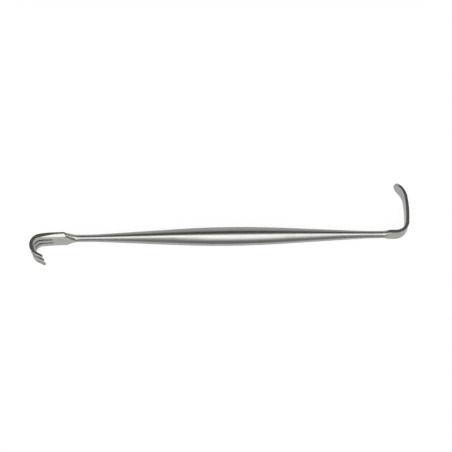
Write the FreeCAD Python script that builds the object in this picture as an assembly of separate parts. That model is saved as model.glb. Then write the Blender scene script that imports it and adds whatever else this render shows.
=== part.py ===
# Double-ended surgical retractor, one forged and polished piece of stainless steel.
#
# A round spindle handle carries a three-tined rake at one end and a flat, rounded blade at the other.
# It is modelled lying on its side, as it comes to rest on a table: the handle runs along X with the
# blade at +X, the blade stands up along +Y, the rake hooks down along -Y, and Z is up.
# While it is built, the thickest point of the handle is the origin and the handle's axis is X.
# At the end it is moved so that the middle of the underside of its bounding box is the origin.
# Lengths are in millimetres and angles in degrees.

import FreeCAD
import Part
import math
import os

from FreeCAD import Vector

# Handle: two long tapers that meet in a belly
HANDLE_DIAMETER = 8.05       # at the thickest point
BELLY_SOFTENING = 11.0       # how far from the thickest point a slope would begin if it began sharply
RAKE_TAPER = 61.5            # from the thickest point to the neck of the rake
RAKE_NECK_DIAMETER = 3.05
BLADE_TAPER = 63.0           # from the thickest point to the neck of the blade
BLADE_NECK_DIAMETER = 3.05
NECK_SOFTENING = 4.0         # how far from the neck the slope would end if it ended sharply
RAKE_NECK_LENGTH = 2.0       # round stretch between the taper and the rake's flare
BLADE_NECK_LENGTH = 2.2      # round stretch between the taper and the blade's flare

# Rake: a plate that flares from the neck, hooks over and splits into tines
TINES = 3
RAKE_WIDTH = 9.6
RAKE_FLARE = 6.4             # length over which the neck widens into the plate
RAKE_PLATE = 5.9             # straight plate from the flare to the first bend
RAKE_PLATE_THICKNESS = 2.1
RAKE_LEAN = 1.4              # how far the plate leans down from the handle's axis
SWAY_RADIUS = 36.5           # slow first bend of the hook
SWAY_ANGLE = 6.7
HOOK_RADIUS = 3.85           # tight bend over the top of the hook
HOOK_ANGLE = 80.9
RETURN_RADIUS = 4.8          # bend that brings the tines back under the plate
RETURN_ANGLE = 63.0
TINE_STRAIGHT = 2.9          # straight end of each tine
TINE_THICKNESS = 1.05        # at the tips
RAKE_EDGE = 0.15             # edge radius of the plate, the hook and the outer tines
BEVEL_ANGLE = 21.0           # between a side of the plate and the bevel ground on it
BEVEL_HEIGHT = 1.1           # of the bevel where the plate begins, out of the plate's thickness
BEVEL_END = 3.6              # from the end of the straight plate to where the bevel runs out
BEVEL_BOW = 0.5              # how far the bevel's upper edge bows out on its way
SLOT_CHAMFER = 0.12          # bevel of the tines' edges along a slot
TINE_TIP_WIDTH = 1.15
TINE_TIP_ROUND = 0.42        # radius that blunts each tip
SLOT_WIDTH = 0.9             # between two tines, at the root
SLOT_PITCH = 2.9             # from the middle of one slot to the next, at the root
SLOT_START = 0.9             # from the end of the straight plate back to the root of a slot

# Blade: a flat strip that turns up and ends in a lip with a round end
BLADE_WIDTH = 6.4
BLADE_FLARE = 3.1            # length over which the neck widens into the strip
BLADE_PLATE = 2.25           # straight strip from the flare to the bend
BLADE_THICKNESS = 1.6        # of the strip before the bend
BLADE_RISE_THICKNESS = 1.4   # above the bend
BLADE_EDGE = 0.15            # edge radius of the strip
BEND_RADIUS = 5.15
BEND_ANGLE = 85.0
BLADE_STRAIGHT = 2.5         # straight stretch above the bend
BLADE_SWAY_RADIUS = 48.0     # slow bend back towards the rake
BLADE_SWAY_ANGLE = 11.0
LIP_RADIUS = 8.2             # bend of the lip
LIP_ANGLE = 35.0
LIP_THICKNESS = 1.3

ROUND_LIMIT = 0.49           # an edge radius stays under half of the thickness that it rounds
FLARE_STEP = 0.75            # most length between two sections of a flare
FLARE_DEGREE = 3             # of the curves along a flare
FLARE_DELAY = 1.4            # power that holds the rake's widening back near the neck
EDGE_DELAY = 3.5             # power that keeps the flare's edges round for longer than it widens
SLOT_LEAD = 0.43             # share of a slot's widening that a tine's length along the handle brings
SLOT_OVERCUT = 2.5           # how far a slot's cutter reaches above the plate and below the tips
BEVEL_OVERRUN = 0.15         # how far a bevel's cutter overruns each end, as a share of its length
JOINT_GAP = 0.001            # an edge this near to a plane lies on it
CREASE_ANGLE = 10.0          # two faces that meet at more than this make an edge to round


def blend(start, end, share):
    """Value between start and end, with a slow departure and a slow arrival."""
    share = min(1.0, max(0.0, share))
    return start + (end - start) * share * share * (3.0 - 2.0 * share)


def taper(start, end, share):
    """Value between start and end in proportion to the share, held at both ends."""
    return start + (end - start) * min(1.0, max(0.0, share))


class Spine:
    """Centre line of a bent strip in the XY plane: straight runs and tangent arcs, one after another.

    A place on it is given by its length from the start.
    """

    def __init__(self, x, heading):
        self.point = Vector(x, 0, 0)
        self.heading = math.radians(heading)
        self.length = 0.0
        self.runs = []

    def run(self, distance, turn):
        """Adds a run that turns left evenly, and returns the length at its end."""
        self.runs.append((self.length, self.point, self.heading, turn / distance))
        self.length += distance
        self.point, self.heading = self.at(self.length)
        return self.length

    def line(self, distance):
        return self.run(distance, 0.0)

    def arc(self, radius, angle):
        turn = math.radians(angle)
        return self.run(radius * turn, turn)

    def at(self, length):
        """Point and heading at a length."""
        start, point, heading, curvature = [run for run in self.runs if run[0] <= length][-1]
        turned = heading + curvature * (length - start)
        if curvature == 0:
            return point + forward(heading) * (length - start), heading
        centre = point + sideways(heading) * (1 / curvature)
        return centre - sideways(turned) * (1 / curvature), turned

    def stretches(self, first, last):
        """Runs between two lengths, each as its start, its end and whether it is straight."""
        ends = [run[0] for run in self.runs[1:]] + [self.length]
        found = []
        for (start, _, _, curvature), end in zip(self.runs, ends):
            low, high = max(start, first), min(end, last)
            if high > low:
                found.append((low, high, curvature == 0))
        return found


def forward(heading):
    return Vector(math.cos(heading), math.sin(heading), 0)


def sideways(heading):
    """Direction through the strip's thickness, to the left of its heading."""
    return Vector(-math.sin(heading), math.cos(heading), 0)


def place(point, heading, across, through):
    """Point of a cross-section: across is along Z, and through is along the strip's thickness."""
    return point + sideways(heading) * through + Vector(0, 0, across)


def rounded_section(point, heading, width, thickness, radius):
    """Rounded rectangle across the strip: four straight sides and four arcs."""
    radius = min(radius, ROUND_LIMIT * min(width, thickness))
    a, b = width / 2, thickness / 2
    diagonal = radius * (1 - math.sqrt(0.5))
    edges = []
    for across, through in ((1, 1), (-1, 1), (-1, -1), (1, -1)):
        on_face = (across * (a - radius), through * b)
        on_side = (across * a, through * (b - radius))
        middle = (across * (a - diagonal), through * (b - diagonal))
        first, last = (on_side, on_face) if across * through > 0 else (on_face, on_side)
        edges.append([first, middle, last])
    wire = []
    for corner, following in zip(edges, edges[1:] + edges[:1]):
        first, middle, last = [place(point, heading, *where) for where in corner]
        wire.append(Part.Arc(first, middle, last).toShape())
        wire.append(Part.makeLine(last, place(point, heading, *following[0])))
    return Part.Wire(wire)


def round_section(point, heading, diameter):
    """Circle in eight arcs, so that it lofts into a rounded rectangle."""
    radius = diameter / 2
    flat = math.degrees(math.asin(1 - 2 * ROUND_LIMIT))
    turns = []
    for quarter in (0, 90, 180, 270):
        turns += [quarter + flat, quarter + 90 - flat]
    wire = []
    for first, last in zip(turns, turns[1:] + [turns[0] + 360]):
        places = [math.radians(turn) for turn in (first, (first + last) / 2, last)]
        points = [place(point, heading, radius * math.cos(t), radius * math.sin(t)) for t in places]
        wire.append(Part.Arc(*points).toShape())
    return Part.Wire(wire)


def flare(spine, joint, neck_diameter, section):
    """Loft from a round neck at the start of a spine to a joint, through evenly spaced sections.

    section is a function of the length, and gives the width, the thickness and the edge radius.
    """
    wires = [round_section(*spine.at(0), neck_diameter)]
    steps = math.ceil(joint / FLARE_STEP)
    for step in range(steps):
        length = joint * (step + 1) / steps
        wires.append(rounded_section(*spine.at(length), *section(length)))
    return Part.makeLoft(wires, True, False, False, FLARE_DEGREE)


def taper_profile(reach, neck_diameter):
    """Half outline of one taper from the thickest point to its neck: arc, straight slope, arc.

    Returns the two arcs' three points each as (distance along the axis, radius).
    """
    top, low = HANDLE_DIAMETER / 2, neck_diameter / 2
    slope = math.atan2(top - low, reach - BELLY_SOFTENING - NECK_SOFTENING)
    belly = soften((0.0, top), BELLY_SOFTENING, slope, -1)
    neck = soften((reach, low), NECK_SOFTENING, slope, 1)
    return belly, neck


def soften(start, reach, slope, side):
    """Arc that leaves a level line at start and ends tangent to the slope.

    reach is the distance from start to the corner that the arc replaces. side is -1 where the
    centre is below the outline, as at the belly, and 1 where it is above, as at the neck.
    """
    radius = reach / math.tan(slope / 2)
    centre = (start[0], start[1] + side * radius)
    direction = -side
    points = []
    for share in (0.0, 0.5, 1.0):
        across = direction * radius * math.sin(slope * share)
        points.append((centre[0] + across, centre[1] - side * radius * math.cos(slope * share)))
    return points


def handle():
    """Spindle turned from the two tapers and the round necks."""
    rake_belly, rake_neck = taper_profile(RAKE_TAPER, RAKE_NECK_DIAMETER)
    blade_belly, blade_neck = taper_profile(BLADE_TAPER, BLADE_NECK_DIAMETER)
    edges = []

    def arc(points, sign):
        spots = [Vector(sign * x, y, 0) for x, y in points]
        edges.append(Part.Arc(*spots).toShape())
        return spots[0], spots[-1]

    rake_top, rake_slope = arc(rake_belly, -1)
    rake_low, rake_slope_end = arc(rake_neck, -1)
    blade_top, blade_slope = arc(blade_belly, 1)
    blade_low, blade_slope_end = arc(blade_neck, 1)
    edges.append(Part.makeLine(rake_slope, rake_slope_end))
    edges.append(Part.makeLine(blade_slope, blade_slope_end))
    rake_end = Vector(-RAKE_TAPER - RAKE_NECK_LENGTH, RAKE_NECK_DIAMETER / 2, 0)
    blade_end = Vector(BLADE_TAPER + BLADE_NECK_LENGTH, BLADE_NECK_DIAMETER / 2, 0)
    edges.append(Part.makeLine(rake_low, rake_end))
    edges.append(Part.makeLine(blade_low, blade_end))
    edges.append(Part.makeLine(rake_end, Vector(rake_end.x, 0, 0)))
    edges.append(Part.makeLine(Vector(rake_end.x, 0, 0), Vector(blade_end.x, 0, 0)))
    edges.append(Part.makeLine(Vector(blade_end.x, 0, 0), blade_end))
    profile = Part.Face(Part.Wire(Part.__sortEdges__(edges)))
    return profile.revolve(Vector(0, 0, 0), Vector(1, 0, 0), 360)


def smooth_outline(spine, first, last, through):
    """Edges beside a spine from one length to another: a line or an arc for each of its runs.

    through is a function of the length, and gives the distance from the spine to its left.
    """
    edges = []
    for start, end, straight in spine.stretches(first, last):
        places = []
        for length in (start, (start + end) / 2, end):
            point, heading = spine.at(length)
            places.append(place(point, heading, 0, through(length)))
        edges.append(Part.makeLine(places[0], places[-1]) if straight else Part.Arc(*places).toShape())
    return edges


def strip(spine, first, last, thickness, width):
    """Bar of even width along a spine, with square edges and square ends."""
    left = smooth_outline(spine, first, last, lambda length: thickness(length) / 2)
    right = smooth_outline(spine, first, last, lambda length: -thickness(length) / 2)
    ends = []
    for length in (first, last):
        point, heading = spine.at(length)
        half = thickness(length) / 2
        ends.append(Part.makeLine(place(point, heading, 0, half), place(point, heading, 0, -half)))
    outline = Part.Face(Part.Wire(Part.__sortEdges__(left + right + ends)))
    outline.translate(Vector(0, 0, -width / 2))
    return outline.extrude(Vector(0, 0, width))


def creases(solid, joint, along):
    """Edges where two faces of a solid meet at an angle.

    Those on the plane through joint, square to along, are left out: the next part joins there.
    """
    found = []
    for edge in solid.Edges:
        if all(abs((vertex.Point - joint).dot(along)) < JOINT_GAP for vertex in edge.Vertexes):
            continue
        middle = edge.valueAt((edge.FirstParameter + edge.LastParameter) / 2)
        faces = solid.ancestorsOfType(edge, Part.Face)
        normals = [face.normalAt(*face.Surface.parameter(middle)) for face in faces]
        if len(normals) == 2 and normals[0].getAngle(normals[1]) > math.radians(CREASE_ANGLE):
            found.append(edge)
    return found


class Rake:
    """Flare, plate, hook and tines.

    The flare is a loft. The plate, the hook and the tines are a strip of even width with rounded
    edges that is cut by the slots and by the two bevels.
    """

    def __init__(self):
        self.spine = Spine(-RAKE_TAPER - RAKE_NECK_LENGTH, 180)
        self.joint = self.spine.arc(RAKE_FLARE / math.radians(RAKE_LEAN), RAKE_LEAN)
        self.plate_end = self.spine.line(RAKE_PLATE)
        self.spine.arc(SWAY_RADIUS, SWAY_ANGLE)
        self.spine.arc(HOOK_RADIUS, HOOK_ANGLE)
        self.spine.arc(RETURN_RADIUS, RETURN_ANGLE)
        self.end = self.spine.line(TINE_STRAIGHT)
        self.root = self.plate_end - SLOT_START + SLOT_WIDTH / 2

    def thickness(self, length):
        if length < self.joint:
            return blend(RAKE_NECK_DIAMETER, RAKE_PLATE_THICKNESS, self.flared(length))
        share = (length - self.plate_end) / (self.end - self.plate_end)
        return taper(RAKE_PLATE_THICKNESS, TINE_THICKNESS, share)

    def section(self, length):
        """Width, thickness and edge radius between the neck and the joint."""
        share = self.flared(length)
        width = blend(RAKE_NECK_DIAMETER, RAKE_WIDTH, share)
        edge = blend(RAKE_NECK_DIAMETER / 2, RAKE_EDGE, share ** EDGE_DELAY)
        return width, self.thickness(length), edge

    def flared(self, length):
        """How far along its flare the neck has gone, held back near the neck."""
        return (length / self.joint) ** FLARE_DELAY

    def hook(self):
        """Strip from the joint to the tips, which are blunt and rounded."""
        bar = strip(self.spine, self.joint, self.end, self.thickness, RAKE_WIDTH)
        tip, heading = self.spine.at(self.end)
        at_tip = [edge for edge in bar.Edges if self.crosses(edge, tip, forward(heading))]
        bar = bar.makeFillet(TINE_TIP_ROUND, at_tip)
        return bar.makeFillet(RAKE_EDGE, self.creases(bar))

    def creases(self, bar):
        joint, heading = self.spine.at(self.joint)
        return creases(bar, joint, forward(heading))

    def crosses(self, edge, point, along):
        """Whether an edge runs across the rake in the plane through a point."""
        first, last = edge.Vertexes[0].Point, edge.Vertexes[-1].Point
        level = max(abs((spot - point).dot(along)) for spot in (first, last)) < JOINT_GAP
        return level and abs(first.z - last.z) > RAKE_WIDTH / 2

    def slot(self, number):
        """Cutter of one slot: two flat walls that part towards the tips, and a round root.

        It is ruled between two outlines in level planes, one above the plate and one below the tips.
        """
        root, _ = self.spine.at(self.root)
        tip, _ = self.spine.at(self.end)
        lead = SLOT_LEAD / (self.end - self.root)
        fall = (1 - lead * (root.x - tip.x)) / (root.y - tip.y)
        side = number - (TINES - 2) / 2
        tip_pitch = (RAKE_WIDTH - TINE_TIP_WIDTH) / (TINES - 1)
        outlines = []
        for y in (root.y + SLOT_OVERCUT, tip.y - SLOT_OVERCUT):
            share = fall * (root.y - y)
            walls = []
            for out in (-1, 1):
                at_root = side * SLOT_PITCH + out * SLOT_WIDTH / 2
                at_tip = side * tip_pitch + out * (tip_pitch - TINE_TIP_WIDTH) / 2
                slope = (at_tip - at_root) * lead
                walls.append((at_root + (at_tip - at_root) * share, slope, math.hypot(1, slope)))
            outlines.append(self.slot_outline(Vector(root.x, y, 0), *walls))
        return Part.makeLoft(outlines, True, True)

    def slot_outline(self, root, low, high):
        """Level outline of a slot: a round root, two walls and a far end past the hook.

        Each wall is its Z at the root, its slope in Z for each millimetre towards the rake's end,
        and the length of that slope with that millimetre.
        """
        radius = (high[0] - low[0]) / (high[2] + low[2])
        centre = Vector(root.x, root.y, low[0] + radius * low[2])
        low_foot = centre + Vector(-low[1], 0, -1) * (radius / low[2])
        high_foot = centre + Vector(high[1], 0, 1) * (radius / high[2])
        reach = self.end - self.root
        low_far = Vector(root.x - reach, root.y, low[0] + low[1] * reach)
        high_far = Vector(root.x - reach, root.y, high[0] + high[1] * reach)
        return Part.Wire([
            Part.Arc(low_foot, centre + Vector(radius, 0, 0), high_foot).toShape(),
            Part.makeLine(high_foot, high_far),
            Part.makeLine(high_far, low_far),
            Part.makeLine(low_far, low_foot),
        ])

    def bevel(self, side):
        """Cutter of the bevel on one side of the plate: 1 for the upper side, -1 for the lower one.

        Its upper edge is an arc on the plate's side that sinks to the hook's inner edge and ends
        there. The bevel leans in from that edge towards the plate's inner face.
        """
        corners = []
        for length, height in ((self.joint, BEVEL_HEIGHT), (self.plate_end + BEVEL_END, 0)):
            point, heading = self.spine.at(length)
            through = self.thickness(length) / 2 - height
            corners.append(place(point, heading, side * RAKE_WIDTH / 2, through))
        start, end = corners
        along = end - start
        start = start - along * BEVEL_OVERRUN
        end = end + along * BEVEL_OVERRUN
        middle = (start + end) / 2 + Vector(0, BEVEL_BOW, 0)
        lean = math.radians(BEVEL_ANGLE)
        inwards = Vector(0, -math.cos(lean), -side * math.sin(lean))
        face = Part.Arc(start, middle, end).toShape().extrude(inwards * RAKE_WIDTH / 2)
        return face.extrude(Vector(0, 0, side * RAKE_WIDTH / 2))

    def solid(self):
        bar = self.hook().cut([self.slot(number) for number in range(TINES - 1)])
        bar = bar.makeChamfer(SLOT_CHAMFER, self.creases(bar))
        rake = flare(self.spine, self.joint, RAKE_NECK_DIAMETER, self.section).fuse(bar)
        return rake.cut([self.bevel(side) for side in (1, -1)])


class Blade:
    """Flare, bend and lip. The flare is a loft, and the rest is a strip with a round end."""

    def __init__(self):
        self.spine = Spine(BLADE_TAPER + BLADE_NECK_LENGTH, 0)
        self.joint = self.spine.line(BLADE_FLARE)
        self.bend = self.spine.line(BLADE_PLATE)
        self.rise = self.spine.arc(BEND_RADIUS, BEND_ANGLE)
        self.spine.line(BLADE_STRAIGHT)
        self.lip = self.spine.arc(BLADE_SWAY_RADIUS, BLADE_SWAY_ANGLE)
        self.end = self.spine.arc(LIP_RADIUS, LIP_ANGLE)

    def thickness(self, length):
        if length < self.joint:
            return blend(BLADE_NECK_DIAMETER, BLADE_THICKNESS, length / self.joint)
        if length < self.rise:
            share = (length - self.bend) / (self.rise - self.bend)
            return taper(BLADE_THICKNESS, BLADE_RISE_THICKNESS, share)
        return taper(BLADE_RISE_THICKNESS, LIP_THICKNESS, (length - self.rise) / (self.lip - self.rise))

    def section(self, length):
        """Width, thickness and edge radius between the neck and the joint."""
        share = length / self.joint
        width = blend(BLADE_NECK_DIAMETER, BLADE_WIDTH, share)
        edge = blend(BLADE_NECK_DIAMETER / 2, BLADE_EDGE, share)
        return width, self.thickness(length), edge

    def round_end(self):
        """Half disc at the end of the lip."""
        point, heading = self.spine.at(self.end)
        half, through = BLADE_WIDTH / 2, LIP_THICKNESS / 2
        corners = [(0, -through), (half, -through), (half, through), (0, through), (0, -through)]
        spots = [place(point, heading, *corner) for corner in corners]
        return Part.Face(Part.makePolygon(spots)).revolve(point, sideways(heading), 180)

    def solid(self):
        bar = strip(self.spine, self.joint, self.end, self.thickness, BLADE_WIDTH)
        bar = bar.fuse(self.round_end()).removeSplitter()
        joint, heading = self.spine.at(self.joint)
        bar = bar.makeFillet(BLADE_EDGE, creases(bar, joint, forward(heading)))
        return flare(self.spine, self.joint, BLADE_NECK_DIAMETER, self.section).fuse(bar)


def settle(shape):
    """Moves the origin to the middle of the underside of the bounding box."""
    box = shape.optimalBoundingBox(False, False)
    move = Vector(-box.Center.x, -box.Center.y, -box.ZMin)
    shape.translate(move)
    print("thickest point of the handle at", round(move.x, 3), round(move.y, 3), round(move.z, 3))
    return shape


def main():
    retractor = handle().fuse([Rake().solid(), Blade().solid()]).removeSplitter()
    retractor = settle(retractor)
    solids = retractor.Solids
    box = retractor.optimalBoundingBox(False, False)
    print("solids", len(solids), "valid", retractor.isValid(), "faces", len(retractor.Faces))
    print("size", round(box.XLength, 2), round(box.YLength, 2), round(box.ZLength, 2))
    print("volume", round(retractor.Volume, 1))
    os.makedirs("parts", exist_ok=True)
    solids[0].exportStep(os.path.join("parts", "retractor.step"))


main()
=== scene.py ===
# %% [markdown]
# # A double-ended surgical retractor
#
# One bar of stainless steel, about 160 mm long: a spindle handle, a three-tined rake at one end and
# a bent, round-ended blade at the other. The solid comes from the CAD model, and this file gives it
# its finish, its light and its camera. Every length in Blender is in metres, so small sizes are
# written in millimetres here and multiplied by MM.

import math

import bpy
import numpy as np
from mathutils import Matrix, Vector

MM = 0.001
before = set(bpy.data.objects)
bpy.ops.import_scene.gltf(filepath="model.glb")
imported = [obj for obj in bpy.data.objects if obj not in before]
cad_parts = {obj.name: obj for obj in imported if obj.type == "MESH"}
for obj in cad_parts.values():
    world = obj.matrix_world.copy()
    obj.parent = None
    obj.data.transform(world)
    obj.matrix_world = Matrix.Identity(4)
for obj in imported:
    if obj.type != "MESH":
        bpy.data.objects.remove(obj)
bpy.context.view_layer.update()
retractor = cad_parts["retractor"]
print("triangles of the solid:", len(retractor.data.polygons))

# %% [markdown]
# ## The camera
#
# The photograph looks down on the retractor as it lies on its side, from the side that the tines hook
# towards. A lens has no unit of its own here: what matters is the angle of view, so the distance was
# fitted first, from how much larger the near edges look, and the focal length follows from it.

# %% Place the camera
SENSOR = 36.0                                # millimetres, Blender's own width of a sensor
PICTURE = 452                                # pixels across and down
PICTURE_MIDDLE = 225.5                       # pixels, where the first pixel's centre is at 0
SCALE = 2.354                                # pixels to a millimetre at the handle
DISTANCE = 474.435                           # millimetres from the handle to the camera
ELEVATION = math.radians(65.535)             # of the camera above the table
AZIMUTH = math.radians(-0.18)                # of the camera from straight in front
ROLL = math.radians(0.571)
AIM = Vector((-1.316, -6.683, 4.8)) * MM     # a point on the handle's axis
AIM_PIXEL = (217.265, 236.1)                 # where that point is in the picture, across and down
NEAREST = 0.01                               # metres, what is nearer to the camera isn't drawn
FARTHEST = 20.0

aim_across = (AIM_PIXEL[0] - PICTURE_MIDDLE) / SCALE
aim_up = (PICTURE_MIDDLE - AIM_PIXEL[1]) / SCALE
towards_camera = Vector((math.sin(AZIMUTH) * math.cos(ELEVATION),
                         -math.cos(AZIMUTH) * math.cos(ELEVATION),
                         math.sin(ELEVATION)))
level = Vector((math.cos(AZIMUTH), math.sin(AZIMUTH), 0.0))
upright = towards_camera.cross(level)
right = level * math.cos(ROLL) - upright * math.sin(ROLL)
up = level * math.sin(ROLL) + upright * math.cos(ROLL)
place = AIM + (towards_camera * DISTANCE - right * aim_across - up * aim_up) * MM

camera = bpy.data.objects.new("camera", bpy.data.cameras.new("camera"))
bpy.context.scene.collection.objects.link(camera)
axes = Matrix((right, up, towards_camera)).transposed().to_4x4()
camera.matrix_world = Matrix.Translation(place) @ axes
camera.data.sensor_width = SENSOR
camera.data.lens = SENSOR * SCALE * DISTANCE / PICTURE
camera.data.clip_start = NEAREST
camera.data.clip_end = FARTHEST
bpy.context.scene.camera = camera
print("lens:", round(camera.data.lens, 2), "mm")

# %% [markdown]
# ## Shader sums
#
# A material's arithmetic is easier to read as arithmetic. The class below wraps one output of a node,
# so that a sum or a product of two of them adds the Math node that works it out.

# %% Write node arithmetic as Python arithmetic
class Value:
    """An output of a node. Adding, taking away, multiplying and dividing give the Math nodes for it."""

    def __init__(self, sketch, socket):
        self.sketch = sketch
        self.socket = socket

    def __add__(self, other):
        return self.sketch.maths("ADD", self, other)

    def __radd__(self, other):
        return self.sketch.maths("ADD", other, self)

    def __sub__(self, other):
        return self.sketch.maths("SUBTRACT", self, other)

    def __rsub__(self, other):
        return self.sketch.maths("SUBTRACT", other, self)

    def __mul__(self, other):
        return self.sketch.maths("MULTIPLY", self, other)

    def __rmul__(self, other):
        return self.sketch.maths("MULTIPLY", other, self)

    def __truediv__(self, other):
        return self.sketch.maths("DIVIDE", self, other)


class Sketch:
    """The nodes of one material or of the world, drawn up afresh."""

    def __init__(self, owner):
        owner.use_nodes = True
        self.tree = owner.node_tree
        self.tree.nodes.clear()

    def node(self, kind, settings=None, inputs=None, output=0):
        """Adds a node: its settings first, then the values or links of its sockets."""
        made = self.tree.nodes.new(kind)
        for name, value in (settings or {}).items():
            if name == "stops":
                self.grey_ramp(made.color_ramp, value)
            else:
                setattr(made, name, value)
        for name, value in (inputs or {}).items():
            if isinstance(value, Value):
                self.tree.links.new(value.socket, made.inputs[name])
            else:
                made.inputs[name].default_value = value
        return Value(self, made.outputs[output])

    def maths(self, operation, *inputs):
        return self.node("ShaderNodeMath", {"operation": operation}, dict(enumerate(inputs)))

    def parts(self, vector):
        """The three parts of a vector, along X, Y and Z."""
        split = self.node("ShaderNodeSeparateXYZ", inputs={0: vector}).socket.node
        return [Value(self, socket) for socket in split.outputs]

    def fade(self, value, low, high):
        """A mask that is 0 below low and 1 above high, with a slow departure and arrival."""
        limits = {"Value": value, "From Min": low, "From Max": high}
        return self.node("ShaderNodeMapRange", {"interpolation_type": "SMOOTHSTEP"}, limits)

    def mix(self, mask, first, second):
        """A colour that is the first one where the mask is 0, and the second one where it is 1."""
        # The Mix node's sockets for colours are its inputs 6 and 7 and its output 2
        inputs = {0: mask, 6: first, 7: second}
        return self.node("ShaderNodeMix", {"data_type": "RGBA"}, inputs, output=2)

    def for_camera(self, shown, others):
        """A shader that is the first one to the camera, and the second one to all other rays."""
        camera_ray = self.node("ShaderNodeLightPath", output="Is Camera Ray")
        return self.node("ShaderNodeMixShader", inputs={0: camera_ray, 1: others, 2: shown})

    def grey_ramp(self, ramp, stops):
        """Sets a ramp's stops, each a place from 0 to 1 and a grey level."""
        while len(ramp.elements) > 1:
            ramp.elements.remove(ramp.elements[-1])
        for number, (position, grey) in enumerate(stops):
            element = ramp.elements[0] if number == 0 else ramp.elements.new(position)
            element.position = position
            element.color = (grey, grey, grey, 1.0)

    def finish(self, kind, value):
        self.tree.links.new(value.socket, self.tree.nodes.new(kind).inputs["Surface"])


print("classes:", Value.__name__, "and", Sketch.__name__)

# %% [markdown]
# ## The studio
#
# Polished steel has hardly a colour of its own: it shows the room. The bands along the handle are a
# large softbox overhead, a dark gap behind it, a grey wall beyond that, and a pale ground below. Lamps
# would light the steel, but they can't draw these bands, so they are painted, by the angle from
# straight up, seen along the handle. It is the same from wherever the camera stands.

# %% Paint the room by angle
# Angle from straight up in degrees, towards the back of the table, and how bright the room is there
ROOM = [(-180, 0.55), (-150, 0.68), (-140, 0.62), (-130, 0.47), (-120, 0.29), (-108, 0.15), (-90, 0.21),
        (-80, 0.28), (-70, 0.45), (-60, 0.80), (-50, 1.20), (-40, 1.45), (-30, 1.54), (-12, 1.56),
        (-4, 1.00), (6, 0.14), (20, 0.08), (34, 0.06), (42, 0.11), (50, 0.27), (62, 0.43), (100, 0.48),
        (124, 0.52), (150, 0.53), (180, 0.55)]
BRIGHTEST = 1.6                              # above the largest of them, so that the ramp holds them all
WHITE = (1.0, 1.0, 1.0, 1.0)


def angle_from_top(sketch, depth, height):
    """Degrees from straight up, towards the back of the table: the arc tangent of depth over height."""
    return sketch.maths("ARCTAN2", depth, height) * math.degrees(1)


def room(sketch, angle):
    """Colour of the room at an angle, as a part of BRIGHTEST."""
    stops = [((at + 180) / 360, brightness / BRIGHTEST) for at, brightness in ROOM]
    return sketch.node("ShaderNodeValToRGB", {"stops": stops}, {0: angle / 360 + 0.5})


world = bpy.data.worlds.new("studio")
bpy.context.scene.world = world
sky = Sketch(world)
_, sky_depth, sky_height = sky.parts(sky.node("ShaderNodeTexCoord", output="Generated"))
sky_bands = room(sky, angle_from_top(sky, sky_depth, sky_height))
sky_light = sky.node("ShaderNodeBackground", inputs={"Color": sky_bands, "Strength": BRIGHTEST})
backdrop = sky.node("ShaderNodeBackground", inputs={"Color": WHITE, "Strength": 1.0})
sky.finish("ShaderNodeOutputWorld", sky.for_camera(backdrop, sky_light))
print("room stops:", len(ROOM))

# %% [markdown]
# ## The tent
#
# A world is endlessly far away, so two places that face the same way show the same part of it. A real
# softbox hangs near the retractor, and each end of the handle sees it from its own place. So the bands
# are painted once more on a tube around the handle, like the light tent that a photographer puts round
# a shiny thing. Only mirror rays meet it, and it casts no light or shadow on the table.

# %% Put up the tent
TENT_RADIUS = 400 * MM
TENT_LENGTH = 8.0                            # metres, so that hardly a ray leaves by its open ends
TENT_SIDES = 96


def tube(radius, length, sides, middle):
    """A tube along X: each side's corner is at an even share of the turn, at both ends."""
    turn = np.arange(sides) * 2 * math.pi / sides
    ring = np.stack([np.zeros(sides), radius * np.cos(turn), radius * np.sin(turn)], axis=1) + middle
    ends = np.concatenate([ring - (length / 2, 0, 0), ring + (length / 2, 0, 0)])
    corner = np.arange(sides)
    after = (corner + 1) % sides
    faces = np.stack([corner, after, after + sides, corner + sides], axis=1)
    mesh = bpy.data.meshes.new("tent")
    mesh.from_pydata(ends.tolist(), [], faces.tolist())
    return mesh


tent = bpy.data.objects.new("tent", tube(TENT_RADIUS, TENT_LENGTH, TENT_SIDES, np.array(AIM)))
bpy.context.scene.collection.objects.link(tent)
tent.visible_camera = False
tent.visible_diffuse = False
tent.visible_shadow = False
tent.visible_transmission = False
print("tent sides:", len(tent.data.polygons))

# %% [markdown]
# The paint needs two things of the place where a ray meets the tent: the angle from straight up, and
# how far along the tent it is. That second one is the reach, in tent radii from the camera's aim, and
# it is written once towards the blade and once towards the rake.

# %% Measure a place on the tent
canvas = bpy.data.materials.new("tent_canvas")
inside = Sketch(canvas)
on_tent = inside.node("ShaderNodeTexCoord", output="Object")
from_aim = inside.node("ShaderNodeVectorMath", {"operation": "SUBTRACT"}, {0: on_tent, 1: AIM})
tent_along, tent_depth, tent_height = inside.parts(from_aim)
tent_angle = angle_from_top(inside, tent_depth, tent_height)
blade_reach = tent_along / TENT_RADIUS
rake_reach = -1 * blade_reach
print("tent radius:", TENT_RADIUS, "m")

# %% [markdown]
# The bands aren't the same all along. Towards both ends of the handle, the softbox's front edge comes
# nearer to straight up. On the rake's side it comes most, the dark gap below it gets narrower by the
# neck, and beyond the rake all this goes away again. So some degrees are taken from the angle before
# the room is looked up. In front they depend on the angle too, because the softbox moves more than the
# ground. A smaller number of degrees, the same all round, moves the back edge towards the back.

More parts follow.
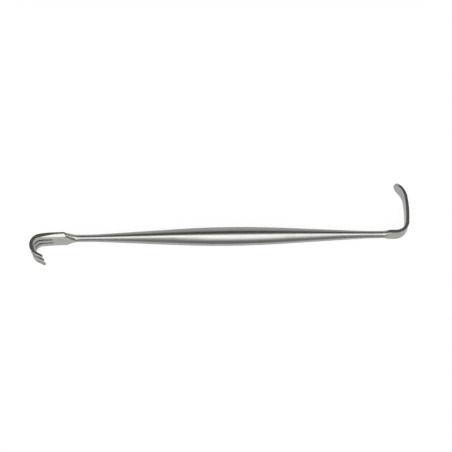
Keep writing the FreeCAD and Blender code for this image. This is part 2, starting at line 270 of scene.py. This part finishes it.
# %% Move the bands towards the ends
# Each pair is where a change begins and where it is whole: a reach, or an angle in degrees
RAKE_TURN = 12.0                             # degrees that the ground in front moves on the rake's side
RAKE_SOFTBOX_TURN = 20.0                     # how much more than that the softbox's edge moves
RAKE_GAP_TURN = 18.0                         # how much more the dark gap moves, by the rake's neck
RAKE_REACH = (0.0, 0.26)
RAKE_GAP_REACH = (0.22, 0.28)
RAKE_END_REACH = (0.32, 0.45)                # where the moves on the rake's side go away again
RAKE_SOFTBOX_EDGE = (-75.0, -35.0)
GROUND_EDGE = (-150.0, -105.0)
BLADE_TURN = 14.0                            # the same for the blade's side
BLADE_SOFTBOX_TURN = 20.0
BLADE_REACH = (0.25, 0.33)
BLADE_SOFTBOX_EDGE = (-100.0, -55.0)
FRONT_EDGE = (-30.0, 0.0)                    # the moves in front have gone by straight up
BLADE_BACK_TURN = 8.0                        # degrees that all bands move, on each side
BLADE_BACK_REACH = (0.15, 0.31)
RAKE_BACK_TURN = 3.0
RAKE_BACK_REACH = (0.1, 0.2)

rake_softbox = inside.fade(tent_angle, *RAKE_SOFTBOX_EDGE)
rake_gap = inside.fade(tent_angle, *GROUND_EDGE) * (1 - rake_softbox)
to_rake = inside.fade(rake_reach, *RAKE_REACH) * (RAKE_TURN + RAKE_SOFTBOX_TURN * rake_softbox)
to_rake = to_rake + RAKE_GAP_TURN * rake_gap * inside.fade(rake_reach, *RAKE_GAP_REACH)
to_rake = to_rake * (1 - inside.fade(rake_reach, *RAKE_END_REACH))
blade_softbox = inside.fade(tent_angle, *BLADE_SOFTBOX_EDGE)
to_blade = inside.fade(blade_reach, *BLADE_REACH) * (BLADE_TURN + BLADE_SOFTBOX_TURN * blade_softbox)
in_front = 1 - inside.fade(tent_angle, *FRONT_EDGE)
blade_back = BLADE_BACK_TURN * inside.fade(blade_reach, *BLADE_BACK_REACH)
rake_back = RAKE_BACK_TURN * inside.fade(rake_reach, *RAKE_BACK_REACH)
moved_angle = tent_angle - (blade_back + rake_back) - (to_rake + to_blade) * in_front
print("most that the softbox moves in front:", RAKE_TURN + RAKE_SOFTBOX_TURN, "degrees")

# %% [markdown]
# A pale card stands low in front, beyond the rake, and shows in the outer sides of the tines. It is a
# plain grey over the bands, and the tent glows with both.

# %% Paint the tent
CARD = (0.5, 0.5, 0.5, 1.0)                  # as a part of BRIGHTEST
CARD_REACH = (0.42, 0.52)
CARD_EDGE = (120.0, 150.0)                   # degrees from straight up, towards the front
card = inside.fade(rake_reach, *CARD_REACH) * inside.fade(-1 * tent_angle, *CARD_EDGE)
tent_colour = inside.mix(card, room(inside, moved_angle), CARD)
tent_glow = inside.node("ShaderNodeEmission", inputs={"Color": tent_colour, "Strength": BRIGHTEST})
inside.finish("ShaderNodeOutputMaterial", tent_glow)
tent.data.materials.append(canvas)
print("brightest that the tent can be:", BRIGHTEST)

# %% [markdown]
# ## The table
#
# The photograph's ground is pure white. The table is white too, but a white table in this light comes
# out grey, so what the camera sees of it is mostly a plain white glow, and the rest is the lit table,
# which keeps the retractor's soft shadow. The steel doesn't see the table: in the photograph its
# underside is a middle grey, not white, so mirror rays pass through the table and end on the lower
# part of the tent, which is that grey.

# %% Lay the table
TABLE_SIZE = 6.0                             # metres
TABLE_WHITE = (0.9, 0.9, 0.9, 1.0)           # for the light that the table sends on
SHADOW_SHARE = (0.18, 0.18, 0.18, 1.0)       # the lit part of what the camera sees
GLOW = 0.89
bpy.ops.mesh.primitive_plane_add(size=TABLE_SIZE)
table = bpy.context.object
table.name = "table"
table.visible_glossy = False
table_paint = bpy.data.materials.new("white_table")
paint = Sketch(table_paint)
table_light = paint.node("ShaderNodeBsdfDiffuse", inputs={"Color": TABLE_WHITE})
shaded = paint.node("ShaderNodeBsdfDiffuse", inputs={"Color": SHADOW_SHARE})
table_glow = paint.node("ShaderNodeEmission", inputs={"Color": WHITE, "Strength": GLOW})
shown_table = paint.node("ShaderNodeAddShader", inputs={0: shaded, 1: table_glow})
paint.finish("ShaderNodeOutputMaterial", paint.for_camera(shown_table, table_light))
table.data.materials.append(table_paint)
print("table's glow:", GLOW)

# %% [markdown]
# ## The steel
#
# The real retractor is turned on a lathe, forged flat at its ends and then polished by hand. Under a
# lens the handle has fine rings around it, from the turning, and the rake and the blade have fine
# lines along them, from the belt. Hand polishing also leaves the surface very slightly wavy, which
# makes the edges of the bands wander, and leaves patches that are duller than others.
#
# A metal's colour is its reflection, so the base colour is bright and nearly grey, the metallic value
# is 1, and the pattern goes into the roughness and a bump. All of it is read from Object coordinates,
# so it stays on the steel from any side. First come the two kinds of lines, and the mask between them.

# %% Draw the polishing lines
HANDLE_MIDDLE = 4.4                          # millimetres along X, halfway between the two flares
FLARE_EDGE = (64.0, 68.0)                    # from there to where a flare begins and ends
RINGS = (7.0, 0.25, 0.25)                    # changes to a millimetre along X, Y and Z
LINES = (0.25, 0.25, 7.0)
GRAIN_DETAIL = 2.0
steel = bpy.data.materials.new("polished_steel")
metal = Sketch(steel)
spot = metal.node("ShaderNodeTexCoord", output="Object")


def noise(density, detail):
    """Cloudy values about one half, that change so many times to a millimetre along X, Y and Z."""
    factors = [each / MM for each in density]
    scaled = metal.node("ShaderNodeVectorMath", {"operation": "MULTIPLY"}, {0: spot, 1: factors})
    inputs = {"Vector": scaled, "Scale": 1.0, "Detail": detail}
    return metal.node("ShaderNodeTexNoise", inputs=inputs, output="Fac")


steel_along, _, _ = metal.parts(spot)
from_middle = metal.maths("ABSOLUTE", steel_along - HANDLE_MIDDLE * MM)
flat = metal.fade(from_middle, *(edge * MM for edge in FLARE_EDGE))
grain = noise(RINGS, GRAIN_DETAIL) * (1 - flat) + noise(LINES, GRAIN_DETAIL) * flat
print("lines to a millimetre:", max(RINGS))

# %% [markdown]
# Next come the waves and the patches of the hand polishing. They are much larger than the lines: a few
# millimetres. A bump's distance is in metres, so with a distance of one millimetre, the heights below
# are in millimetres too.

# %% Finish the steel
WAVES = (0.14, 0.22, 0.22)                   # changes to a millimetre along X, Y and Z
WAVE_DETAIL = 1.0
PATCHES = (0.10, 0.3, 0.3)
PATCH_DETAIL = 3.0
WAVE_HEIGHT = 0.02
GRAIN_HEIGHT = 0.0006
SMOOTHEST = 0.12                             # roughness where neither patch nor line adds to it
PATCH_ROUGHNESS = 0.10
GRAIN_ROUGHNESS = 0.06
BRIGHT = (0.665, 0.655, 0.635, 1.0)
DULL = (0.585, 0.578, 0.555, 1.0)
PATCH_SHARE = 0.6                            # of the dulling, and the rest is the lines'
DULL_EDGE = (0.3, 0.7)
waves = noise(WAVES, WAVE_DETAIL)
patches = noise(PATCHES, PATCH_DETAIL)
relief = waves * WAVE_HEIGHT + grain * GRAIN_HEIGHT
bump = metal.node("ShaderNodeBump", inputs={"Distance": MM, "Strength": 1.0, "Height": relief})
roughness = SMOOTHEST + PATCH_ROUGHNESS * patches + GRAIN_ROUGHNESS * grain
dulling = metal.fade(patches * PATCH_SHARE + grain * (1 - PATCH_SHARE), *DULL_EDGE)
colour = metal.mix(dulling, BRIGHT, DULL)
look = {"Base Color": colour, "Metallic": 1.0, "Roughness": roughness, "Normal": bump}
metal.finish("ShaderNodeOutputMaterial", metal.node("ShaderNodeBsdfPrincipled", inputs=look))
for slot in retractor.material_slots:
    slot.material = steel
print("steel nodes:", len(metal.tree.nodes))

# %% [markdown]
# ## Finish
#
# The colours are shown as they are.

# %% Show the colours as they are
bpy.context.scene.view_settings.view_transform = "Standard"
